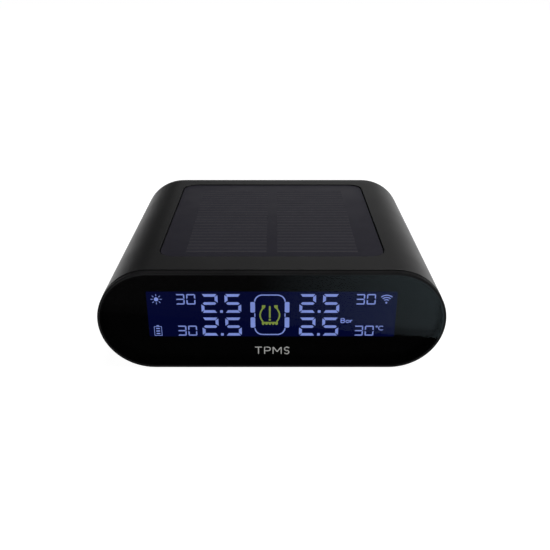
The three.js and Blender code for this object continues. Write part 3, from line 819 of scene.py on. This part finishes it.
# Letters as strokes in a box one unit high, with the width that each takes.
LETTERS = {
    "T": (0.78, [[(0, 1), (0.78, 1)], [(0.39, 0), (0.39, 0.99)]]),
    "P": (0.66, [[(0, 0), (0, 1), (0.38, 1), *arc_points((0.38, 0.73), 0.27, 70, -90, 8), (0, 0.46)]]),
    "M": (0.92, [
        [(0, 0), (0, 1)],
        [(0.03, 0.99), (0.46, 0.32)],
        [(0.46, 0.32), (0.89, 0.99)],
        [(0.92, 1), (0.92, 0)],
    ]),
    "S": (0.62, [[
        *arc_points((0.33, 0.74), 0.26, 25, 270, 12),
        *arc_points((0.31, 0.26), 0.26, 90, -155, 12)[1:],
    ]]),
    "B": (0.64, [
        [(0, 0), (0, 1), (0.36, 1), *arc_points((0.36, 0.76), 0.24, 70, -90, 6), (0, 0.52)],
        [(0, 0), (0.38, 0), *arc_points((0.38, 0.26), 0.26, -70, 90, 6)],
    ]),
    "a": (0.56, [
        arc_points((0.28, 0.3), 0.28, 50, 310, 12),
        [(0.56, 0), (0.56, 0.6)],
    ]),
    "r": (0.34, [[(0, 0), (0, 0.6)], [(0, 0.3), *arc_points((0.3, 0.3), 0.28, 150, 80, 4)]]),
    "C": (0.72, [arc_points((0.46, 0.5), 0.46, 50, 310, 16)]),
    "°": (0.3, [arc_points((0.14, 0.86), 0.14, 0, 330, 11)]),
}


def lettering(name, text, high, left, low, y, thick, line, space=0.28):
    """Plain sans-serif lettering whose strokes are all one width."""
    bm = bmesh.new()
    x = left
    for letter in text:
        wide, strokes = LETTERS[letter]
        for points in strokes:
            path = [(x + px * high, low + line / 2 + pz * (high - line)) for px, pz in points]
            plate(bm, stroke(path, line), y, thick)
        x += (wide + space) * high
    return to_object(name, bm)


def make_sun():
    bm = bmesh.new()
    centre = (-26.5, 17.42)
    plate(bm, arc_points(centre, 0.5, 0, 345, 23), FIGURE_Y, FIGURE_THICK)
    for i in range(8):
        angle = math.radians(45 * i)
        way = Vector((math.cos(angle), math.sin(angle)))
        start = Vector(centre) + way * 0.8
        end = Vector(centre) + way * 1.28
        plate(bm, stroke([start, end], 0.15), FIGURE_Y, FIGURE_THICK)
    return to_object("sun_symbol", bm)


def make_battery_symbol():
    """A battery that stands up, with three bars of charge."""
    bm = bmesh.new()
    x = -26.64
    low = 7.84
    w = 1.7
    h = 2.4
    line = 0.11
    outline = [(x - w / 2, low), (x + w / 2, low), (x + w / 2, low + h), (x - w / 2, low + h)]
    for i, start in enumerate(outline):
        end = outline[(i + 1) % 4]
        way = (Vector(end) - Vector(start)).normalized() * (line / 2)
        plate(bm, stroke([Vector(start) + way, Vector(end) + way], line), FIGURE_Y, FIGURE_THICK)
    parts = [moved(rounded_outline(0.6, 0.22, 0.06, 3), x, low + h + 0.24)]
    parts += [moved(rounded_outline(0.86, 0.27, 0.05, 2), x, low + 0.52 + i * 0.68) for i in range(3)]
    for part in parts:
        plate(bm, part, FIGURE_Y, FIGURE_THICK)
    return to_object("battery_symbol", bm)


def make_wireless_symbol():
    """Three waves that spread from a dot."""
    bm = bmesh.new()
    centre = (26.3, 16.55)
    plate(bm, arc_points(centre, 0.24, 0, 330, 11), FIGURE_Y, FIGURE_THICK)
    for radius in (0.78, 1.35, 1.92):
        plate(bm, stroke(arc_points(centre, radius, 48, 132, 12), 0.24), FIGURE_Y, FIGURE_THICK)
    return to_object("wireless_symbol", bm)


def make_vehicle_outline():
    """A car seen from above: its front and back, and the line between the wheels."""
    bm = bmesh.new()
    x = -0.43
    half = 3.5
    corner = 1.8
    line = 0.28
    for end, way in ((18.52, 1), (8.1, -1)):
        middle = (x + half - corner, end - way * corner)
        right = arc_points(middle, corner, 90 * way, 3 * way, 8)
        left = [(2 * x - px, pz) for px, pz in right][::-1]
        plate(bm, stroke(left + right, line), FIGURE_Y, FIGURE_THICK)
    for side in (-1, 1):
        dash = rounded_outline(0.26, 0.92, 0.04, 2)
        plate(bm, moved(dash, x + side * half, 13.3), FIGURE_Y, FIGURE_THICK)
    return to_object("vehicle_outline", bm)


def make_wheels():
    bm = bmesh.new()
    for x in (-4.4, 3.53):
        for z in (15.34, 11.33):
            plate(bm, moved(rounded_outline(1.08, 2.72, 0.24, 3), x, z), FIGURE_Y, FIGURE_THICK)
    return to_object("vehicle_wheels", bm)


def make_warning_symbol():
    """The usual sign for tyre pressure: a tyre's section, open at the top, round a stroke."""
    bm = bmesh.new()
    x = -0.46
    line = 0.36
    wall = [
        (1.64, 15.1), (1.84, 14.65), (2.12, 14.1), (2.26, 13.5),
        (2.22, 12.85), (2.0, 12.2), (1.58, 11.5),
    ]
    foot = [(0.98, 15.87), (1.06, 15.3), (1.5, 14.85), (1.82, 15.05), (1.84, 15.87)]
    shapes = [
        moved(rounded_outline(3.7, line, 0.05, 2), x, 11.3),
        moved(rounded_outline(0.42, 3.15, 0.2, 4), x, 14.1),
        moved(rounded_outline(0.56, 0.56, 0.26, 4), x, 12.05),
    ]
    for side in (-1, 1):
        shapes.append(stroke([(x + side * px, pz) for px, pz in wall], line))
        shapes.append([(x + side * px, pz) for px, pz in foot])
    tread = [(-0.36, 11.15), (-0.17, 10.7), (0.17, 10.7), (0.36, 11.15)]
    for i in range(5):
        shapes.append(moved(tread, x + (i - 2) * 0.78, 0))
    for shape in shapes:
        plate(bm, shape, FIGURE_Y, FIGURE_THICK)
    return to_object("tyre_warning_symbol", bm)


def make_display_face():
    low, high = box_mm("lcd_front_polarizer")
    middle = (low.z + high.z) / 2
    return upright_slab(
        "display_face",
        high.x - low.x,
        high.z - low.z,
        0.3,
        (0, middle),
        edged(low.y, high.y, 0.04),
        4,
    )


def display_material():
    """The dark blue of the lit display behind its polarizer."""
    made = Nodes("display_blue")
    uneven = made.noise(45, 2)
    glow = made.blend(uneven, tinted(PANEL_BLUE, 0.94), tinted(PANEL_BLUE, 1.06))
    made.link(glow, made.shader.inputs["Emission Color"])
    made.set(Base_Color=(0.0005, 0.0005, 0.003, 1), Emission_Strength=SHOWS_THROUGH)
    made.roughness(made.noise(400), 0.05, 0.08)
    made.set(Specular_IOR_Level=0.0)
    return made.material


settle(
    make_display_face(),
    display_material(),
    stands_for=["lcd_front_polarizer"],
)
SEGMENT_LIGHT = lit_figure("segment_light", SEGMENT_BLUE, 0.97 * SHOWS_THROUGH)
WARNING_LIGHT = lit_figure("warning_light", WARNING_GREEN, 0.92 * SHOWS_THROUGH)
for piece in (
    make_large_figures(),
    make_small_figures(),
    make_sun(),
    make_battery_symbol(),
    make_wireless_symbol(),
    make_vehicle_outline(),
    make_wheels(),
    lettering("pressure_unit", "Bar", 1.3, 16.1, 11.2, FIGURE_Y, FIGURE_THICK, 0.2, 0.24),
    lettering("temperature_unit", "°C", 1.36, 24.35, 9.15, FIGURE_Y, FIGURE_THICK, 0.2, 0.16),
):
    settle(piece, SEGMENT_LIGHT)
settle(make_warning_symbol(), WARNING_LIGHT)


# Grey print with a painted glow: it gives off light of its own, though print is no lamp.
def glowing_print_material():
    made = Nodes("grey_print_painted_glow")
    made.color(made.noise(1200), (0.42, 0.42, 0.41), (0.5, 0.5, 0.49))
    made.roughness(made.noise(700), 0.45, 0.6)
    made.set(Emission_Color=(0.45, 0.45, 0.44, 1), Emission_Strength=0.88)
    return made.material


MARK_Y = MASK_LOW.y - 0.035
# The window mark is printed with the painted glow.
mark = lettering("window_mark", "TPMS", 2.1, -4.0, 2.8, MARK_Y, 0.03, 0.24, 0.3)
settle(mark, glowing_print_material())


# ======== Solar panel ========
SHEET_LOW, SHEET_HIGH = box_mm("solar_cover")
FINGERS = {"count": 24, "pitch": 1.955, "width": 0.36}
FILM = 0.012
PANEL_DARK = (0.036, 0.0343, 0.0455)


def panel_material():
    """The dark violet-grey sheet of the laminated panel, under a thin coat of resin."""
    made = Nodes("panel_sheet")
    made.color(made.noise(260, 3), tinted(PANEL_DARK, 0.96), tinted(PANEL_DARK, 1.04))
    made.roughness(made.noise(80), 0.42, 0.5)
    made.bump(made.noise(120, 2), 0.004)
    made.set(Specular_IOR_Level=0.05)
    return made.material


def silicon_material():
    """Thin-film silicon, with fine crystal streaks across the cell."""
    made = Nodes("thin_film_silicon")
    streaks = made.noise(700, 3, (0.08, 1, 1))
    made.color(streaks, tinted(PANEL_DARK, 1.04), tinted(PANEL_DARK, 1.14))
    made.roughness(made.noise(160), 0.38, 0.46)
    made.set(Specular_IOR_Level=0.05)
    return made.material


def finger_material():
    made = Nodes("printed_silver")
    made.color(made.noise(1500, 3), (0.06, 0.058, 0.066), (0.07, 0.068, 0.076))
    made.roughness(made.noise(900), 0.45, 0.6)
    made.set(Specular_IOR_Level=0.2)
    return made.material


def make_sheet():
    size = SHEET_HIGH - SHEET_LOW
    centre = ((SHEET_LOW.x + SHEET_HIGH.x) / 2, (SHEET_LOW.y + SHEET_HIGH.y) / 2)
    stations = edged(SHEET_LOW.z, SHEET_HIGH.z, 0, 0.08)
    return flat_slab("solar_sheet", size.x, size.y, 3.75, centre, stations)


def flat_strip(bm, x0, x1, y0, y1, z0, z1):
    corners = [(x0, y0), (x1, y0), (x1, y1), (x0, y1)]
    loft(bm, [[(x, y, z) for x, y in corners] for z in (z0, z1)])


def make_cell(name, node):
    """One cell, whose top is flush with the opaque sheet's upper face."""
    low, high = box_mm(node)
    bm = bmesh.new()
    top = SHEET_HIGH.z + FILM
    flat_strip(bm, low.x, high.x, low.y, high.y, low.z, top)
    return to_object(name, bm)


def make_fingers(name, node):
    """The printed lines that gather current across one cell."""
    low, high = box_mm(node)
    middle = (low.y + high.y) / 2
    top = SHEET_HIGH.z + FILM
    half = FINGERS["width"] / 2
    bm = bmesh.new()
    for i in range(FINGERS["count"]):
        y = middle + (i - (FINGERS["count"] - 1) / 2) * FINGERS["pitch"]
        flat_strip(bm, low.x, high.x, y - half, y + half, top - FILM / 2, top + FILM)
    return to_object(name, bm)


SILICON = silicon_material()
SILVER = finger_material()
settle(make_sheet(), panel_material(), stands_for=["solar_cover"])
paint(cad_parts["solar_backing"], MATERIALS["board"])
for side in ("left", "right"):
    cell_node = f"solar_cell_{side}"
    settle(
        make_cell(f"silicon_{side}", cell_node),
        SILICON,
        stands_for=[cell_node],
    )
    settle(make_fingers(f"fingers_{side}", cell_node), SILVER)


# ======== Back: port and key ========
def make_port_shell():
    """The drawn steel shell of the socket, whose lower corners are cut off, with a flared mouth."""
    wall = 0.3
    depth = SHELL_HIGH.y - SHELL_LOW.y

    def profile(grow):
        w = PORT_W / 2 + grow
        h = PORT_H / 2 + grow
        cut = 0.75
        return [
            (w - cut, -h), (w, -h + cut), (w, h - 0.35), (w - 0.35, h),
            (-w + 0.35, h), (-w, h - 0.35), (-w, -h + cut), (-w + cut, -h),
        ]

    bm = bmesh.new()
    outer = [(SHELL_LOW.y, 0), (SHELL_HIGH.y - 0.35, 0), (SHELL_HIGH.y, 0.12)]
    loft(bm, upright_rings(profile, (0, PORT_Z), outer))
    shell = to_object("port_shell", bm)
    bm = bmesh.new()
    inner = [
        (SHELL_LOW.y + wall, -wall),
        (SHELL_HIGH.y - 0.4, -wall),
        (SHELL_HIGH.y + 0.05, -wall + 0.2),
        (SHELL_HIGH.y + depth, -wall + 0.2),
    ]
    loft(bm, upright_rings(profile, (0, PORT_Z), inner))
    carve(shell, [to_object("hollow", bm)])
    finish_shading(shell, 50)
    return shell


def make_port_tongue():
    low, high = box_mm("usb_socket_tongue")
    size = high - low
    centre = ((low.x + high.x) / 2, (low.z + high.z) / 2)
    stations = edged(low.y, high.y, 0, 0.12)
    return upright_slab("port_tongue", size.x, size.z, 0.1, centre, stations, 3)


def make_port_contacts():
    low, high = box_mm("usb_socket_tongue")
    bm = bmesh.new()
    for i in range(5):
        x = (i - 2) * 0.65
        flat_strip(bm, x - 0.18, x + 0.18, low.y + 0.4, high.y - 0.25, low.z - 0.05, low.z + 0.02)
    return to_object("port_contacts", bm)


def make_key():
    """A pill-shaped key with a dished face, on the flange that keeps it in the case."""
    low, high = box_mm("power_button")
    at = (KEY["x"], KEY["z"])
    flange_back = REAR_Y - WALL - 0.1
    bm = bmesh.new()
    stem = edged(flange_back - 0.5, high.y, 0, 0.3)
    stem.append((high.y - 0.02, -0.9))
    stem.append((high.y - KEY_DISH, -1.5))
    loft(bm, upright_rings(grown(KEY["w"], KEY["h"], KEY["h"] / 2), at, stem))
    key = to_object("power_key", bm)
    flange = upright_slab(
        "flange",
        high.x - low.x,
        high.z - low.z,
        KEY["h"] / 2,
        at,
        edged(flange_back - 0.7, flange_back, 0.1),
    )
    rod = upright_slab("rod", 2.2, 2.2, 1.1, at, [(low.y, 0), (flange_back - 0.3, 0)], 6)
    carve(key, [flange, rod], "UNION")
    finish_shading(key)
    return key


def make_key_sign():
    """The usual sign for on and off, printed on the key's face."""
    bm = bmesh.new()
    radius = 0.82
    line = 0.2
    y = box_mm("power_button")[1].y - KEY_DISH
    at = (KEY["x"], KEY["z"])
    ring = stroke(arc_points(at, radius, 125, 415, 24), line)
    bar = stroke([(at[0], at[1] + 0.15), (at[0], at[1] + 1.0)], line)
    for outline in (ring, bar):
        plate(bm, outline, y - 0.02, 0.04)
    return to_object("key_sign", bm)


settle(make_port_shell(), MATERIALS["steel"], stands_for=["usb_socket_shell"])
settle(make_port_tongue(), MATERIALS["chip"], stands_for=["usb_socket_tongue"])
settle(make_port_contacts(), MATERIALS["gold"])
settle(make_key(), MATERIALS["key"], "button", ["power_button"])
# The key's sign is printed with the painted glow.
settle(make_key_sign(), glowing_print_material(), "button")


# ======== Pad ========
def make_pad():
    size = PAD_HIGH - PAD_LOW
    centre = ((PAD_LOW.x + PAD_HIGH.x) / 2, (PAD_LOW.y + PAD_HIGH.y) / 2)
    stations = edged(PAD_LOW.z, PAD_HIGH.z, 0.25, 0)
    return flat_slab("grip_pad", size.x, size.y, 5.65, centre, stations)


settle(make_pad(), MATERIALS["pad"], stands_for=["mounting_pad"])


# ======== Stage, light and camera ========
def floor_material():
    made = Nodes("pale_floor")
    made.color(made.noise(3, 2), (0.3, 0.3, 0.3), (0.32, 0.32, 0.32))
    made.set(Emission_Color=(1, 1, 1, 1), Emission_Strength=0.98, Roughness=0.9)
    made.set(Specular_IOR_Level=0.0)
    return made.material


def make_floor():
    bm = bmesh.new()
    bmesh.ops.create_grid(bm, x_segments=8, y_segments=8, size=6000)
    floor = to_object("floor", bm)
    paint(floor, floor_material())


def far_card_material():
    """Soft light that is strongest to the right and dies away to the left."""
    made = Nodes("far_card_light")
    split = made.node("ShaderNodeSeparateXYZ")
    made.link(made.where, split.inputs["Vector"])
    fade = made.spread(split.outputs["X"], 0.0, 1.0, -0.004, 0.046)
    glow = made.node("ShaderNodeMix", data_type="RGBA")
    made.link(fade, glow.inputs["Factor"])
    glow.inputs["A"].default_value = (0.05, 0.05, 0.05, 1)
    glow.inputs["B"].default_value = (0.5, 0.64, 0.7, 1)
    made.link(glow.outputs["Result"], made.shader.inputs["Emission Color"])
    made.set(Base_Color=(0, 0, 0, 1), Emission_Strength=1.7, Specular_IOR_Level=0.0)
    return made.material


def near_card_material():
    made = Nodes("near_card_black")
    made.color(made.noise(40), (0.002, 0.002, 0.002), (0.004, 0.004, 0.004))
    made.set(Emission_Color=(0.03, 0.03, 0.03, 1), Emission_Strength=1.0, Specular_IOR_Level=0.0)
    return made.material


def make_card(name, corners, material):
    """A flat card just over the floor, which shows only in reflections."""
    bm = bmesh.new()
    bm.faces.new([bm.verts.new((x, y, 0.3)) for x, y in corners])
    card = to_object(name, bm)
    paint(card, material)
    card.visible_camera = False
    card.visible_diffuse = False
    card.visible_shadow = False
    card.visible_transmission = False


def make_cards():
    left = (-140, -80.0)
    right = (140, -35.0)
    far = [(-300, -260), (300, -260), right, left]
    near = [left, right, (140, -30), (60, -30), (-60, -30), (-140, -30)]
    make_card("far_card", far, far_card_material())
    make_card("near_card", near, near_card_material())


def make_world():
    """A pale horizon under a dim ceiling, brighter to the right than to the left."""
    world = bpy.data.worlds.new("studio")
    world.use_nodes = True
    tree = world.node_tree
    where = tree.nodes.new("ShaderNodeTexCoord")
    split = tree.nodes.new("ShaderNodeSeparateXYZ")
    ramp = tree.nodes.new("ShaderNodeValToRGB")
    across = tree.nodes.new("ShaderNodeMapRange")
    for i, number in enumerate((-0.3, 0.35, 0.14, 1.05)):
        across.inputs[1 + i].default_value = number
    tree.links.new(where.outputs["Generated"], split.inputs["Vector"])
    tree.links.new(split.outputs["Z"], ramp.inputs["Fac"])
    tree.links.new(split.outputs["X"], across.inputs[0])
    back = tree.nodes["Background"]
    tree.links.new(ramp.outputs["Color"], back.inputs["Color"])
    tree.links.new(across.outputs[0], back.inputs["Strength"])
    stops = [(0.0, 0.45), (0.12, 0.38), (0.32, 0.14), (0.6, 0.05), (1.0, 0.05)]
    for _ in range(len(stops) - 2):
        ramp.color_ramp.elements.new(0.5)
    for element, (position, value) in zip(ramp.color_ramp.elements, stops):
        element.position = position
        element.color = (value, value, value, 1)
    bpy.context.scene.world = world


def area_light(name, position, target, size, power):
    data = bpy.data.lights.new(name, "AREA")
    data.shape = "RECTANGLE"
    data.size = size[0]
    data.size_y = size[1]
    data.energy = power
    light = bpy.data.objects.new(name, data)
    light.location = position
    light.rotation_euler = (Vector(target) - Vector(position)).to_track_quat("-Z", "Y").to_euler()
    bpy.context.scene.collection.objects.link(light)


# The camera's place from the middle of the window's foot, and how far down it looks.
CAMERA = {"x": 0.74, "before": 133.0, "above": 87.8, "down": 25.53, "lens": 43.6}


def make_camera():
    data = bpy.data.cameras.new("camera")
    data.sensor_width = 36
    data.lens = CAMERA["lens"]
    data.clip_start = 0.01
    data.clip_end = 50
    camera = bpy.data.objects.new("camera", data)
    place = (CAMERA["x"], LENS_LOW.y - CAMERA["before"], CASE_LOW.z + CAMERA["above"])
    camera.location = Vector(place) * MM
    camera.rotation_euler = (math.radians(90 - CAMERA["down"]), 0, 0)
    bpy.context.scene.collection.objects.link(camera)
    bpy.context.scene.camera = camera


make_floor()
make_cards()
make_world()
make_camera()
area_light("overhead", (0.25, 0.05, 0.65), (0, 0, 0), (0.6, 0.6), 3.0)
area_light("behind", (0.0, 0.9, 0.17), (0, 0, 0.02), (0.4, 0.2), 0.095)
bpy.context.scene.view_settings.view_transform = "Standard"
